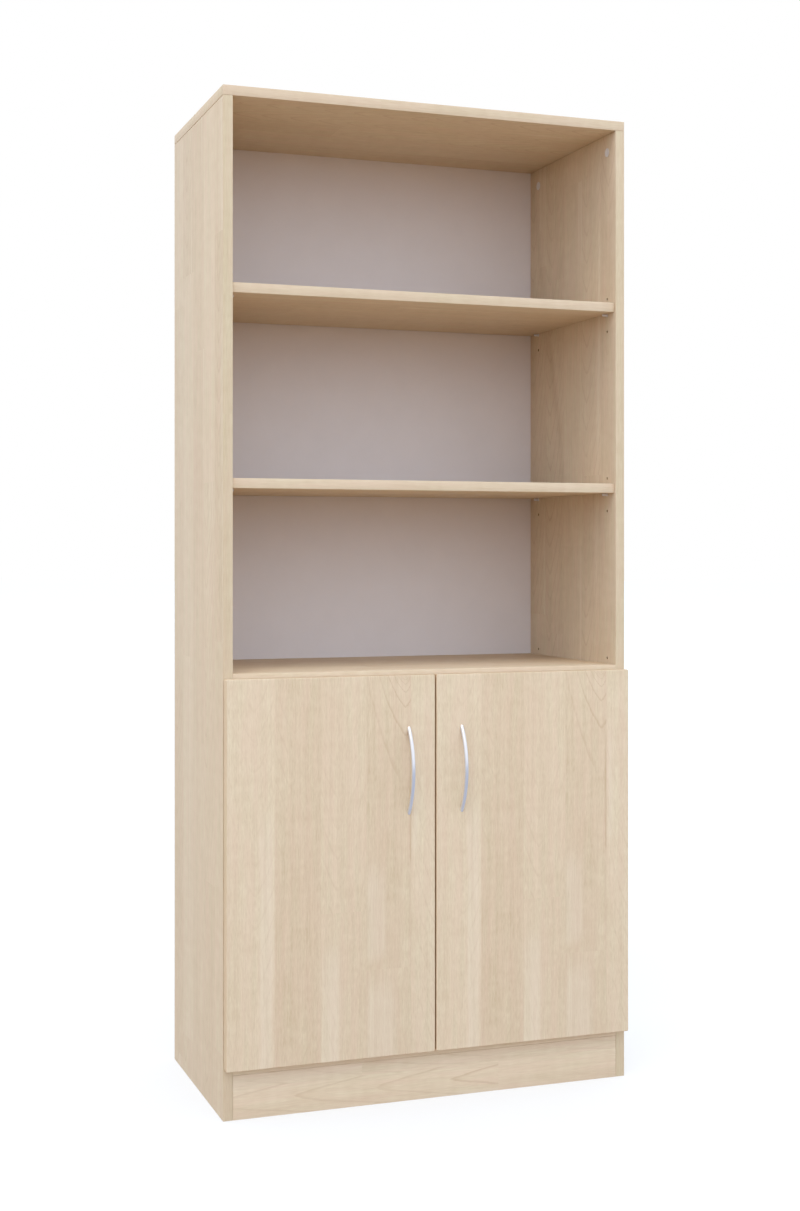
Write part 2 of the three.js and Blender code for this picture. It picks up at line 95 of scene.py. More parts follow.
class Signal:  # a shader socket that takes Python's arithmetic
    def __init__(self, socket):
        self.socket = socket

    def node(self, kind, settings=None, inputs=None, output=0):
        made = self.socket.id_data.nodes.new(kind)
        for key, value in (settings or {}).items():
            if key == "stops":
                setStops(made.color_ramp, value)
            else:
                setattr(made, key, value)
        for key, value in (inputs or {}).items():
            plug(made.inputs[key], value)
        return Signal(made.outputs[output])

    def maths(self, operation, *values):
        return self.node("ShaderNodeMath", {"operation": operation}, dict(enumerate(values)))

    def __abs__(self):
        return self.maths("ABSOLUTE", self)

    def floor(self):
        return self.maths("FLOOR", self)

    def clamped(self):
        return self.node("ShaderNodeClamp", {}, {0: self})

    def between(self, low, high):  # 0 below low, 1 above high, smooth in the middle
        settings = {"interpolation_type": "SMOOTHSTEP"}
        return self.node("ShaderNodeMapRange", settings, {0: self, 1: low, 2: high, 3: 0.0, 4: 1.0})

    def within(self, low, high, rise, fall):  # 1 from low to high, 0 outside, smooth at both ends
        return self.between(low, low + rise) * (1 - self.between(high - fall, high))

    def parts(self):
        split = self.node("ShaderNodeSeparateXYZ", {}, {0: self}).socket.node
        return [Signal(socket) for socket in split.outputs]

    def point(self, x, y, z):
        return self.node("ShaderNodeCombineXYZ", {}, {0: x, 1: y, 2: z})

    def noise(self, x, y, z, detail, roughness):  # about -0.5 to 0.5
        inputs = {"Vector": self.point(x, y, z), "Scale": 1.0, "Detail": detail, "Roughness": roughness}
        return self.node("ShaderNodeTexNoise", {}, inputs) - 0.5

    def evenNoise(self, perMetre, detail, roughness):  # of one size every way
        x, y, z = (part * perMetre for part in self.parts())
        return self.noise(x, y, z, detail, roughness)

    def mixed(self, low, high):  # this value goes from one colour to another
        return self.node("ShaderNodeMix", {"data_type": "RGBA"}, {0: self, 6: low, 7: high}, 2)

    def tinted(self, tint):  # this colour times another one
        settings = {"data_type": "RGBA", "blend_type": "MULTIPLY"}
        return self.node("ShaderNodeMix", settings, {0: 1.0, 6: self, 7: tint}, 2)


operators = {"add": "ADD", "sub": "SUBTRACT", "mul": "MULTIPLY", "truediv": "DIVIDE", "pow": "POWER"}
for name, operation in operators.items():
    setattr(Signal, f"__{name}__", lambda a, b, kind=operation: a.maths(kind, a, b))
    setattr(Signal, f"__r{name}__", lambda a, b, kind=operation: a.maths(kind, b, a))


def plug(socket, value):
    if isinstance(value, Signal):
        socket.id_data.links.new(value.socket, socket)
    elif isinstance(value, tuple) and len(value) == 3 and socket.type == "RGBA":
        socket.default_value = (*value, 1)
    else:
        socket.default_value = value


def setStops(ramp, stops):  # colours blend from stop to stop, single tones change at once
    while len(ramp.elements) < len(stops):
        ramp.elements.new(1)
    for element, (position, colour) in zip(ramp.elements, stops):
        element.position = position
        element.color = (*colour, 1) if isinstance(colour, tuple) else (colour, colour, colour, 1)
    if not isinstance(stops[0][1], tuple):
        ramp.interpolation = "CONSTANT"


def linear(red, green, blue):  # from the 0 to 255 numbers of a paint card, by the sRGB curve
    shares = (red / 255, green / 255, blue / 255)
    return tuple(c / 12.92 if c <= 0.04045 else ((c + 0.055) / 1.055) ** 2.4 for c in shares)


def newFinish(name, **surface):  # a material, its surface shader and the place of each point
    material = bpy.data.materials.new(name)
    material.use_nodes = True
    shader = material.node_tree.nodes["Principled BSDF"]
    for key, value in surface.items():
        plug(shader.inputs[key.replace("_", " ")], value)
    place = Signal(material.node_tree.nodes.new("ShaderNodeTexCoord").outputs["Object"])
    return material, shader, place


def addBump(shader, height, distance):
    inputs = {"Strength": 1.0, "Distance": distance, "Height": height}
    plug(shader.inputs["Normal"], height.node("ShaderNodeBump", {}, inputs))


# Maple: staves side by side, each with its own tone, streaks and arches of growth rings

maple = {
    "dark": linear(204, 179, 146),
    "light": linear(235, 218, 189),
    "rosy": linear(230, 196, 174),
    "sapwood": linear(233, 216, 192),
    "vein": linear(185, 150, 115),
    "rosyPatches": (2.4, 0.28),  # contrast, share
    "sapwoodShares": (0.47, 0.6),  # evenly, by the fibres
    "veinShare": 0.4,
    "seam": (0.985, 0.1),  # start, on the way from a stave's middle to its edge, and share
    "toneShare": 0.3,
    "noiseShares": {"streaks": 0.42, "fibres": 0.6, "pores": 0.4, "curl": 0.3, "cloud": 0.3, "flecks": 0.5},
    "contrasts": {
        "door": {"tone": 1.0, "streaks": 1.0, "cloud": 1.0},
        "board": {"tone": 0.7, "streaks": 0.75, "cloud": 0.7},
        "edge": {"tone": 0.0, "streaks": 0.5, "cloud": 0.4},
    },
    "staveWidth": 0.087,
    "staveLength": 0.74,
    "staveStart": -0.031,
    "staveSlip": (4.0, 5.0),  # metres by which its pattern is moved at most, across and along
    "layers": (25, 0.37),  # per metre through the board, and the step from one pattern to the next
    "ringSpacing": 0.056,  # along the middle of an arch
    "archSteepness": 7.0,
    "archPower": 1.35,
    "archWaver": (0.012, 0.02, 0.011),  # sway across and along, wobble
    "fibreWaver": 0.006,
    "roughness": 0.5,
    "roughShares": (0.1, 0.08),  # of the fibres and the pores
    "bumpShares": (0.6, 0.4),
    "bump": 0.00006,
    "specular": 0.04,
    "sideEdgeShade": (0.93, 0.94, 0.91),  # times the colour, on the edge bands of the sides: painted shade
    # times the colour, on the edge bands of the doors: partly their own warmer tone, partly painted shade on
    # the top edges and in the gap between the doors
    "doorEdgeToneAndShade": (0.93, 0.87, 0.80),
}

grainCells = {  # cells per metre across and along the grain, detail, roughness
    "streaks": (1 / 0.009, 1.4, 2.0, 0.55),
    "fibreWaver": (22, 9, 1.0, 0.5),
    "fibres": (1 / 0.0024, 15, 2.0, 0.62),
    "pores": (1 / 0.0007, 60, 0.0, 0.5),
    "flecks": (1 / 0.0019, 1 / 0.0105, 1.0, 0.6),
    "curl": (26, 48, 1.0, 0.6),
    "cloud": (14, 2.2, 1.0, 0.5),
    "rosy": (75, 7, 1.0, 0.5),
    "pale": (42, 1.0, 1.0, 0.4),
    "ragged": (90, 5, 2.0, 0.6),
    "drift": (3, 14, 1.0, 0.5),
    "sway": (11, 2.6, 1.0, 0.5),
    "wobble": (70, 12, 1.0, 0.5),
    "shiver": (420, 40, 1.0, 0.5),
}

doorLow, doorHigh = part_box("door_left")

doorFigure = {  # the same on both doors, from the lower left corner
    "top": doorHigh.z - doorLow.z,
    "staveStart": 0.002,
    "staveEnds": [(0.176, 0.263, 0.27), (0.263, 0.35, 0.161)],  # left, right, height
    "endSoftness": 1e-4,
    "endSlip": 0.37,
    "tones": [(0.0, 0.72), (0.223, 0.18), (0.44, 0.6), (0.6575, 0.3), (0.875, 0.66)],
    "tonesWidth": 0.4,  # that their places are shares of
    "archAxis": 0.3375,
    "archDepth": 0.121,  # of one tip below the door's top, and the others crowd together above it
    "archRatio": 1.82,
    "archStave": (0.262, 0.351, 0.002, 0.002),  # left, right, rise, fall
    "archEnds": (0.44, 0.6),
    "archFade": (0.022, 0.055, 0.62),  # from and to a distance off the axis, share
    "faintShare": 0.34,  # of the arches on the other staves
    "sapwood": [  # left, right, bottom, top
        (0.0595, 0.092, -0.2, 0.48),
        (0.1755, 0.217, -0.2, 0.24),
        (0.2635, 0.305, 0.168, 0.38),
        (0.2635, 0.325, -0.2, 0.175),
        (0.2355, 0.249, 0.53, 0.58),
        (0.3515, 0.369, 0.36, 0.62),
        (0.1035, 0.115, 0.6, 0.68),
    ],
    "sapwoodSides": (0.0045, 0.012),  # rise, fall
    "ragged": (0.012, 4),  # across, and times that along
    "darkLine": (0.3488, 0.34, 0.6, 0.7),  # place, bottom, top, share
    "darkLineSides": (0.0005, 0.0024),
    "darkLineDrift": 0.003,
    "tips": (0.03, 0.08),  # lower and upper, of the line and the sapwood
}


def grainNoise(kind, u, v, layer):
    across, along, detail, roughness = grainCells[kind]
    return u.noise(u * across, v * along, layer, detail, roughness)


def arches(u, v, axis, tip, layer, top=None, ratio=None):
    # Growth rings cut by the board's face, which stand as V-shaped lines with their tips down. They
    # are evenly spaced, or with a top their distances from it grow by a ratio
    swayAcross, swayAlong, wobbling = maple["archWaver"]
    sway = grainNoise("sway", u, v, layer)
    wobble = grainNoise("wobble", u, v, layer) + grainNoise("shiver", u, v, layer) * 0.5
    offAxis = u - axis + sway * swayAcross
    arch = ((offAxis * offAxis + 0.000004) ** (maple["archPower"] / 2)) * maple["archSteepness"]
    level = v - arch + sway * swayAlong + wobble * wobbling
    if top:
        ring = level.maths("LOGARITHM", (top - level) / tip, ratio) * -1
    else:
        ring = (level - tip) / maple["ringSpacing"]
    step = ring - ring.floor()
    return (1 - step.between(0.02, 0.2)) * step.between(-0.02, 0.04)


def doorLines(figure, u, v, uu, vv, layer, inStave, slip, noises):
    # The rings and the pale sapwood that are drawn on a door
    axis, depth, top, ratio = (figure[key] for key in ("archAxis", "archDepth", "top", "archRatio"))
    drawn = u.within(*figure["archStave"])
    near, far, fade = figure["archFade"]
    rings = arches(u, v, axis, depth, layer, top, ratio) * drawn * v.between(*figure["archEnds"])
    rings = rings * (noises["fibres"] + 0.85) * (1 - abs(u - axis).between(near, far) * fade)
    faint = arches(inStave * maple["staveWidth"], vv, slip * 0.05 + 0.02, 0.0, layer + 1.7)
    faint = faint * (1 - drawn) * noises["cloud"].between(-0.2, 0.25)
    place, bottom, top, strength = figure["darkLine"]
    drift = grainNoise("drift", u, v, layer) * figure["darkLineDrift"]
    line = 1 - abs(u - place + drift).between(*figure["darkLineSides"])
    line = line * v.within(bottom, top, *figure["tips"])
    rings = rings + faint * figure["faintShare"] + line * strength
    ragged, stretch = figure["ragged"]
    ragged = grainNoise("ragged", uu, vv, layer) * ragged
    pale = 0.0
    for left, right, bottom, top in figure["sapwood"]:
        across = (u + ragged).within(left, right, *figure["sapwoodSides"])
        pale = across * (v + ragged * stretch).within(bottom, top, *figure["tips"]) + pale
    return rings, pale * (noises["streaks"] + 0.75)


def boardLines(veins, uu, vv, layer, inStave, slip, luck, noises):
    # The rings, which are strong on some staves only, and the pale sapwood along a stave's edge
    strength, stretch = veins
    rings = arches(inStave * maple["staveWidth"], vv / stretch, luck * 0.063 + 0.012, slip, layer)
    rings = rings * (luck.between(0.66, 0.7) * 0.8 + strength)
    rings = rings * (noises["cloud"] + 0.6).between(0.35, 0.8) * (noises["fibres"] + 0.85)
    pale = grainNoise("pale", uu, vv, layer + 3.3).between(0.1, 0.2)
    return rings, pale * (1 - inStave.between(0.3, 0.6))


def staveCell(u, v, column, layer, figure):
    # A stave's tone, how far its pattern is moved, and a third number, all from 0 to 1
    row = 0.0
    if not figure:
        start = u.node("ShaderNodeTexWhiteNoise", {}, {"Vector": u.point(column, layer, 0.5)})
        row = (v / maple["staveLength"] + start * 3.0).floor()
    cell = u.node("ShaderNodeTexWhiteNoise", {}, {"Vector": u.point(column, row, layer)}, 1)
    tone, slip, luck = cell.parts()
    if figure:
        soft = figure["endSoftness"]
        for left, right, height in figure["staveEnds"]:
            inside = u.within(left - soft, right + soft, 2 * soft, 2 * soft)
            slip = slip + inside * (1 - v.between(height - soft, height + soft)) * figure["endSlip"]
        tone = u.node("ShaderNodeValToRGB", {"stops": figure["tones"]}, {0: u / figure["tonesWidth"]})
        tone = tone + (slip - 0.5) * 0.2
    return tone, slip, luck


def mapleFinish(name, across, along, seed, origin, figure, edgeToneAndShade, veins):
    roughness = maple["roughness"]
    material, shader, place = newFinish(name, Roughness=roughness, Specular_IOR_Level=maple["specular"])
    parts = dict(zip("xyz", place.parts()))
    through = ({"x", "y", "z"} - {across, along}).pop()
    u = parts[across] - origin[0]
    v = parts[along] - origin[1]
    perMetre, step = maple["layers"]
    layer = (parts[through] * perMetre + step).floor() * step + seed
    stave = (u - (figure or maple)["staveStart"]) / maple["staveWidth"]
    column = stave.floor()
    inStave = stave - column
    tone, slip, luck = staveCell(u, v, column, layer, figure)
    uu = u + slip * maple["staveSlip"][0]
    vv = v + slip * maple["staveSlip"][1]

    contrasts = maple["contrasts"]["door" if figure else "edge" if edgeToneAndShade else "board"]
    waver = grainNoise("fibreWaver", uu, vv, layer) * maple["fibreWaver"]
    noises = {key: grainNoise(key, uu, vv, layer) * contrasts[key] for key in ("streaks", "cloud")}
    noises["fibres"] = fibres = grainNoise("fibres", uu + waver, vv, layer)
    for key in ("pores", "curl", "flecks") if figure else ("pores", "curl"):
        noises[key] = grainNoise(key, uu, vv, layer)
    rings = pale = inStave * 0.0
    if figure:
        rings, pale = doorLines(figure, u, v, uu, vv, layer, inStave, slip, noises)
    elif not edgeToneAndShade:
        rings, pale = boardLines(veins, uu, vv, layer, inStave, slip, luck, noises)

    level = (tone - 0.5) * (maple["toneShare"] * contrasts["tone"]) + 0.5
    for key, noise in noises.items():
        level = level + noise * maple["noiseShares"][key]
    colour = level.clamped().mixed(maple["dark"], maple["light"])
    contrast, rosyShare = maple["rosyPatches"]
    rosy = (grainNoise("rosy", uu, vv, layer + 6.1) * contrast + 0.5).clamped()
    colour = (rosy * rosyShare).mixed(colour, maple["rosy"])
    evenly, byFibres = maple["sapwoodShares"]
    colour = (pale * (fibres * byFibres + evenly)).clamped().mixed(colour, maple["sapwood"])
    seamStart, seamShare = maple["seam"]
    seam = (abs(inStave - 0.5) * 2).between(seamStart, 1.0)
    colour = (rings * maple["veinShare"] + seam * seamShare).clamped().mixed(colour, maple["vein"])
    # The edge tint darkens the edge bands of the sides and doors as painted shade; on the doors it is partly
    # the bands' own warmer tone
    plug(shader.inputs["Base Color"], colour.tinted(edgeToneAndShade) if edgeToneAndShade else colour)
    byFibres, byPores = maple["roughShares"]
    plug(shader.inputs["Roughness"], fibres * byFibres + noises["pores"] * byPores + roughness)
    byFibres, byPores = maple["bumpShares"]
    addBump(shader, fibres * byFibres + noises["pores"] * byPores, maple["bump"])
    return material


def boardFinishes(
    name, along, seed=0.0, origin=(0, 0), figure=None, edges="", edgeToneAndShade=(1.0, 1.0, 1.0), veins=(0.16, 1.0)
):
    # One finish for each direction that a face of the board can point in
    finishes = []
    for normal in "xyz":
        rest = [axis for axis in "xyz" if axis != normal]
        grain = next(axis for axis in (along, "z", "x") if axis in rest)
        across = [axis for axis in rest if axis != grain][0]
        front = normal == "y" and along == "z"
        start = origin if front else (0, 0)
        drawn = figure if front else None
        tone = edgeToneAndShade if normal in edges else None
        title = f"{name}_{normal}{grain}"
        finishes.append(mapleFinish(title, across, grain, seed, start, drawn, tone, veins))
    return finishes


# the sides' edge bands get a darker tint, which is painted shade
grainUp = boardFinishes("mapleUp", "z", edges="yz", edgeToneAndShade=maple["sideEdgeShade"])
grainAcross = boardFinishes("mapleAcross", "x", seed=5.2, edges="xy")
grainPlinth = boardFinishes("maplePlinth", "x", seed=4.1, edges="xz", veins=(0.5, 2.8))

# Other finishes

plainSurfaces = {  # tones, roughness, specular, bump
    "chipboardCore": (linear(128, 98, 66), linear(203, 172, 128), 0.85, 0.5, 0.0004),
    "paleHardboard": (linear(219, 207, 201), linear(233, 221, 215), 0.5, 0.4, 0.00008),
    "brownHardboard": (linear(150, 116, 84), linear(186, 152, 116), 0.75, 0.2, 0.0002),
    "capPlastic": (linear(222, 214, 208), linear(236, 230, 226), 0.45, 0.5, 0.00004),
}

plainNoises = {  # cells per metre, detail, roughness, and shares of tone, roughness and bump
    "chipboardCore": [(420, 3.0, 0.7, 1.3, 0, 1)],
    "paleHardboard": [(14, 3.0, 0.6, 0.5, 0, 0.3), (900, 2.0, 0.6, 0.35, 0.15, 1)],
    "brownHardboard": [(260, 3.0, 0.65, 0.6, 0.2, 1), (7, 2.0, 0.55, 0.5, 0, 0)],
    "capPlastic": [(1500, 2.0, 0.6, 0.4, 0, 1)],
}

metals = {  # tones, roughness, its unevenness, brushed along, bump, metallic
    "satinAluminium": (linear(232, 237, 251), linear(245, 248, 255), 0.29, 0.3, "z", 0.000006, 1.0),
    "nickelSteel": (linear(188, 186, 180), linear(222, 220, 214), 0.28, 1.0, "y", 0.00003, 1.0),
    "zincCast": (linear(150, 152, 155), linear(184, 186, 188), 0.42, 1.0, "y", 0.00008, 1.0),
    "pinSteel": (linear(226, 225, 230), linear(246, 245, 248), 0.42, 1.0, "x", 0.00003, 0.5),
}

brushing = {
    "along": 40,  # cells per metre
    "across": 2600,
    "cloud": 90,
    "noise": (2.0, 0.6),  # detail, roughness
    "toneShares": (0.6, 0.5),  # of the brushed lines and the cloud
    "roughShares": (0.12, 0.1),
}


def plainFinish(name):
    dark, light, roughness, specular, bump = plainSurfaces[name]
    material, shader, place = newFinish(name, Roughness=roughness, Specular_IOR_Level=specular)
    tone, height = 0.5, 0.0
    for *cells, toneShare, roughShare, bumpShare in plainNoises[name]:
        noise = place.evenNoise(*cells)
        tone = noise * toneShare + tone
        if roughShare:
            roughness = noise * roughShare + roughness
        if bumpShare:
            height = noise * bumpShare + height
    plug(shader.inputs["Base Color"], tone.clamped().mixed(dark, light))
    plug(shader.inputs["Roughness"], roughness)
    addBump(shader, height, bump)
    return material


def metalFinish(name):
    dark, light, roughness, uneven, grain, bump, metallic = metals[name]
    material, shader, place = newFinish(name, Metallic=metallic, Roughness=roughness)
    along, across = brushing["along"], brushing["across"]
    stretched = [part * (along if axis == grain else across) for axis, part in zip("xyz", place.parts())]
    lines = place.noise(*stretched, *brushing["noise"])
    cloud = place.evenNoise(brushing["cloud"], *brushing["noise"])
    byLines, byCloud = brushing["toneShares"]
    colour = (lines * byLines + cloud * byCloud + 0.5).clamped().mixed(dark, light)
    plug(shader.inputs["Base Color"], colour)
    byLines, byCloud = brushing["roughShares"]
    plug(shader.inputs["Roughness"], (lines * byLines + cloud * byCloud) * uneven + roughness)
    addBump(shader, lines, bump)
    return material


chipboard, hardboard, rawHardboard, capPlastic = (plainFinish(name) for name in plainSurfaces)
aluminium, nickel, zinc, pinSteel = (metalFinish(name) for name in metals)
print("finishes made")

# Meshes

smoothing = {"pieces": 0.6, "keptNodes": 0.5}  # radians, up to which an edge is shaded smooth
facing = 0.9  # of a face's normal along an axis, for the face to look that way
onGround = 0.001
towards = {
    "x": Matrix.Rotation(math.pi / 2, 4, "Y"),
    "y": Matrix.Rotation(-math.pi / 2, 4, "X"),
    "z": Matrix(),
}


def meshObject(mesh, name="part"):  # uses the mesh up
    data = bpy.data.meshes.new(name)
    mesh.to_mesh(data)
    mesh.free()
    return newObject(name, data)


def finishPiece(mesh, name, body, finishes, standsFor=()):
    piece = meshObject(mesh, name)
    for finish in finishes:
        piece.data.materials.append(finish)
    piece.data.shade_smooth()
    piece.data.set_sharp_from_angle(angle=smoothing["pieces"])
    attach(piece, body)
    if standsFor:
        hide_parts(*standsFor)
    return piece


def addBoolean(piece, operation, other):
    step = piece.modifiers.new(operation.lower(), "BOOLEAN")
    step.operation = operation
    step.solver = "EXACT"
    step.object = other
    return step


def applyModifiers(piece):
    bpy.context.view_layer.update()
    shape = piece.evaluated_get(bpy.context.evaluated_depsgraph_get())
    data = bpy.data.meshes.new_from_object(shape)
    piece.modifiers.clear()
    piece.data = data
    data.set_sharp_from_angle(angle=smoothing["pieces"])


def cubeMesh(low, high, turn=None):
    size = [top - bottom for bottom, top in zip(low, high)]
    middle = [(top + bottom) / 2 for bottom, top in zip(low, high)]
    place = shift(middle) @ Matrix.Diagonal((*size, 1))
    mesh = bmesh.new()
    bmesh.ops.create_cube(mesh, size=1, matrix=turn @ place if turn else place)
    return mesh


def roundEdges(mesh, edges, radius, steps):
    bmesh.ops.bevel(
        mesh, geom=edges, offset=radius, segments=steps, profile=0.5, affect="EDGES", material=-1
    )


def addCone(mesh, place, radii, length, steps):
    bmesh.ops.create_cone(
        mesh, cap_ends=True, segments=steps, radius1=radii[0], radius2=radii[1], depth=length, matrix=place
    )


def cutOff(mesh, point, normal):  # what lies on the normal's side; the cut's rim comes back
    everything = mesh.verts[:] + mesh.edges[:] + mesh.faces[:]
    cut = bmesh.ops.bisect_plane(mesh, geom=everything, plane_co=point, plane_no=normal, clear_outer=True)
    return [edge for edge in cut["geom_cut"] if isinstance(edge, bmesh.types.BMEdge)]


def drill(piece, holes):
    # Holes are (centre, axis, radius, depth each way), cut in one go
    tool = bmesh.new()
    for centre, axis, radius, depth in holes:
        addCone(tool, shift(centre) @ towards[axis], (radius, radius), 2 * depth, 32)
    cutter = meshObject(tool, "drill")
    cutter.data.materials.append(chipboard)
    addBoolean(piece, "DIFFERENCE", cutter).material_mode = "TRANSFER"
    applyModifiers(piece)
    bpy.data.objects.remove(cutter)


def faceByDirection(mesh):
    # The slot of a face is the axis that it looks along, and raw board shows underneath on the floor
    for face in mesh.faces:
        normal = [abs(n) for n in face.normal]
        onFloor = face.normal.z < -facing and face.calc_center_median().z < onGround
        face.material_index = 3 if onFloor else normal.index(max(normal))


def middleOf(node):
    low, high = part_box(node)
    return (low + high) / 2


def outerAndInner(low, high, hand):  # the ends of a box away from and towards the bookcase's middle
    return (low.x, high.x) if hand > 0 else (high.x, low.x)


# Boards

boards = {
    "rounding": 0.0004,  # of the edge bands
    "backRounding": 0.0002,
    "groove": 0.0011,  # along the top of each side, under the top panel
    "across": [
        "top_panel", "upper_shelf", "middle_shelf", "fixed_shelf", "cabinet_shelf", "bottom_panel",
        "plinth_board",
    ],
    "onCams": ["fixed_shelf", "bottom_panel"],
    "onPins": ["upper_shelf", "middle_shelf", "cabinet_shelf"],
    "holesUnder": ["upper_shelf", "middle_shelf", "fixed_shelf", "cabinet_shelf"],
    "pinHole": (0.0026, 0.0085),  # radius, depth
    "pinDrop": 0.0028,  # of a pin's axis below its shelf
    "holePitch": 0.032,
    "holeInset": 0.037,
    "rearHoleInset": 0.042,
    "camInset": 0.034,
    "camHole": (0.0076, 0.0124),
    "housingPlay": 0.0002,
    "housingDepth": 0.0138,
    "channelRadius": 0.0036,  # of the bolts
    "channelPast": 0.002,
    "nailHole": (0.0023, 0.0005),
    "nailInset": 0.008,
    "nailTopInset": 0.006,
    "nailPitch": 0.15,
    "nailColumns": (-1.5, -0.5, 0.5, 1.5),  # times the pitch
}


def blockMesh(low, high, rounding, steps=2):
    mesh = cubeMesh(low, high)
    roundEdges(mesh, mesh.edges[:], rounding, steps)
    return mesh


def addBoards():
    for node in boards["across"]:
        mesh = blockMesh(*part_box(node), boards["rounding"])
        faceByDirection(mesh)
        finishes = grainPlinth if node == "plinth_board" else grainAcross
        piece = finishPiece(mesh, f"{node}_board", "carcass", [*finishes, chipboard], [node])
        if node in boards["onCams"]:
            drill(piece, [(spot, "z", *boards["camHole"]) for spot in camSpots(node)])
    mesh = blockMesh(*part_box("back_panel"), boards["backRounding"], 1)
    for face in mesh.faces:
        face.material_index = 0 if face.normal.y < -facing else 1
    finishes = [hardboard, rawHardboard, chipboard]
    piece = finishPiece(mesh, "back_sheet", "carcass", finishes, ["back_panel"])
    drill(piece, [(spot, "y", *boards["nailHole"]) for spot in nailSpots()])


def holeRows(low, high):
    return [low.y + boards["holeInset"], high.y - boards["rearHoleInset"]]


def camSpots(node):
    # Where the cams sit in the underside of a board, near its ends
    low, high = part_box(node)
    inset = boards["camInset"]
    return [(x, row, low.z) for x in (low.x + inset, high.x - inset) for row in holeRows(low, high)]


def nailSpots():
    low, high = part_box("back_panel")
    inset, pitch = boards["nailInset"], boards["nailPitch"]
    steps = round((high.z - low.z) / pitch)
    spots = []
    for step in range(steps):
        height = low.z + (high.z - low.z) * (step + 0.5) / steps
        spots += [(low.x + inset, high.y, height), (high.x - inset, high.y, height)]
    for node in ("top_panel", "fixed_shelf", "bottom_panel"):
        height = min(middleOf(node).z, high.z - boards["nailTopInset"])
        spots += [(column * pitch, high.y, height) for column in boards["nailColumns"]]
    return spots


def addSide(side, hand):
    node = f"side_panel_{side}"
    low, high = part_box(node)
    outer, inner = outerAndInner(low, high, hand)
    mesh = blockMesh(low, high, boards["rounding"])
    rim = cutOff(mesh, (outer, 0, high.z - boards["groove"]), (-hand, 0, 1))
    bmesh.ops.contextual_create(mesh, geom=rim)
    faceByDirection(mesh)
    piece = finishPiece(mesh, f"{node}_board", "carcass", [*grainUp, chipboard], [node])
    holes = []
    for shelf in boards["holesUnder"]:
        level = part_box(shelf)[0].z - boards["pinDrop"]
        for step in (-1, 0, 1):
            for row in holeRows(low, high):
                spot = (inner, row, level + step * boards["holePitch"])
                holes.append((spot, "x", *boards["pinHole"]))
    past = boards["channelPast"]
    for row in ("front", "rear"):
        centre = middleOf(f"cam_housing_{row}_{side}")
        radius = centre.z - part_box(f"cam_housing_{row}_{side}")[0].z + boards["housingPlay"]
        holes.append(((inner, centre.y, centre.z), "x", radius, boards["housingDepth"]))
        channel = ((low.x + high.x) / 2, centre.y, (centre.z + high.z) / 2 + past)
        holes.append((channel, "z", boards["channelRadius"], (high.z - centre.z) / 2 + past))
    drill(piece, holes)


addBoards()
onBothSides(addSide)
print("boards made")

# Doors

door = {
    "edgeRadius": 0.0015,
    "edgeSteps": 3,
    "cornerRadius": 0.003,
    "cornerSteps": 5,
    "edgeAngle": 1.0,  # radians, above which an edge is rounded
    "cupInset": 0.0205,  # of a hinge cup's middle from the door's outer edge
    "cupHole": (0.0174, 0.0126),
}


def runsBack(edge):  # from the front of a door to its rear
    return abs(edge.verts[0].co.y - edge.verts[1].co.y) > mm


def addDoor(side, hand):
    node = f"door_{side}"
    low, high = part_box(node)
    mesh = cubeMesh(low, high)
    corners = [edge for edge in mesh.edges if runsBack(edge)]
    roundEdges(mesh, corners, door["cornerRadius"], door["cornerSteps"])
    flat = [edge for edge in mesh.edges if not runsBack(edge)]
    rims = [edge for edge in flat if edge.calc_face_angle(0) > door["edgeAngle"]]
    roundEdges(mesh, rims, door["edgeRadius"], door["edgeSteps"])
    faceByDirection(mesh)
    finishes = boardFinishes(
        # the doors' edge tint is partly the bands' own tone and partly painted shade
        f"mapleDoor_{side}", "z", origin=(low.x, low.z), figure=doorFigure, edges="xz",
        edgeToneAndShade=maple["doorEdgeToneAndShade"],
    )
    piece = finishPiece(mesh, f"{node}_front", node, [*finishes, chipboard], [node])
    middle = outerAndInner(low, high, hand)[0] + hand * door["cupInset"]
    holes = []
    for level in ("lower", "upper"):
        holes.append(((middle, high.y, middleOf(f"{level}_hinge_cup_{side}").z), "y", *door["cupHole"]))
    drill(piece, holes)


onBothSides(addDoor)
print("doors made")

# Handles: a round bar bent to an arc, and cut off at the door's face

handle = {
    "barRadius": 0.0036,
    "length": 0.164,
    "rise": 0.0234,
    "endGap": 0.0005,  # between the door and the outer edge of the arc's end
    "around": 24,
    "alongSteps": 64,
}


def addHandle(side):
    node = f"handle_{side}"
    middle = middleOf(node)
    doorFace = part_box(f"door_{side}")[0].y
    rise, bar = handle["rise"], handle["barRadius"]
    radius = ((handle["length"] / 2) ** 2 - bar ** 2 + rise ** 2) / (2 * (rise + bar))
    hub = Vector((middle.x, doorFace + radius - rise, middle.z))
    half = math.acos((radius - rise + handle["endGap"]) / (radius + bar))
    mesh = bmesh.new()
    ring = bmesh.ops.create_circle(mesh, cap_ends=False, segments=handle["around"], radius=bar)["verts"]
    bmesh.ops.rotate(mesh, verts=ring, cent=(0, 0, 0), matrix=Matrix.Rotation(half, 3, "X"))
    start = Vector((0, -radius * math.cos(half), -radius * math.sin(half)))
    bmesh.ops.translate(mesh, vec=hub + start, verts=ring)
    bmesh.ops.spin(
        mesh, geom=mesh.verts[:] + mesh.edges[:], cent=hub, axis=(-1, 0, 0), angle=2 * half,
        steps=handle["alongSteps"], use_merge=False,
    )
    cutOff(mesh, (0, doorFace, 0), (0, 1, 0))
    openings = [edge for edge in mesh.edges if edge.is_boundary]
    bmesh.ops.holes_fill(mesh, edges=openings, sides=0)
    bmesh.ops.recalc_face_normals(mesh, faces=mesh.faces)
    finishPiece(mesh, f"{node}_bar", f"door_{side}", [aluminium], [node])


for side in sides:
    addHandle(side)
print("handles made")

# Shelf pins and cam caps

pin = {
    "collarRadius": 0.0034,
    "collarThickness": 0.0008,
    "collarEdge": 0.0002,
    "rootChamfer": 0.0005,
    "tipChamfer": 0.0008,
    "steps": 24,
}

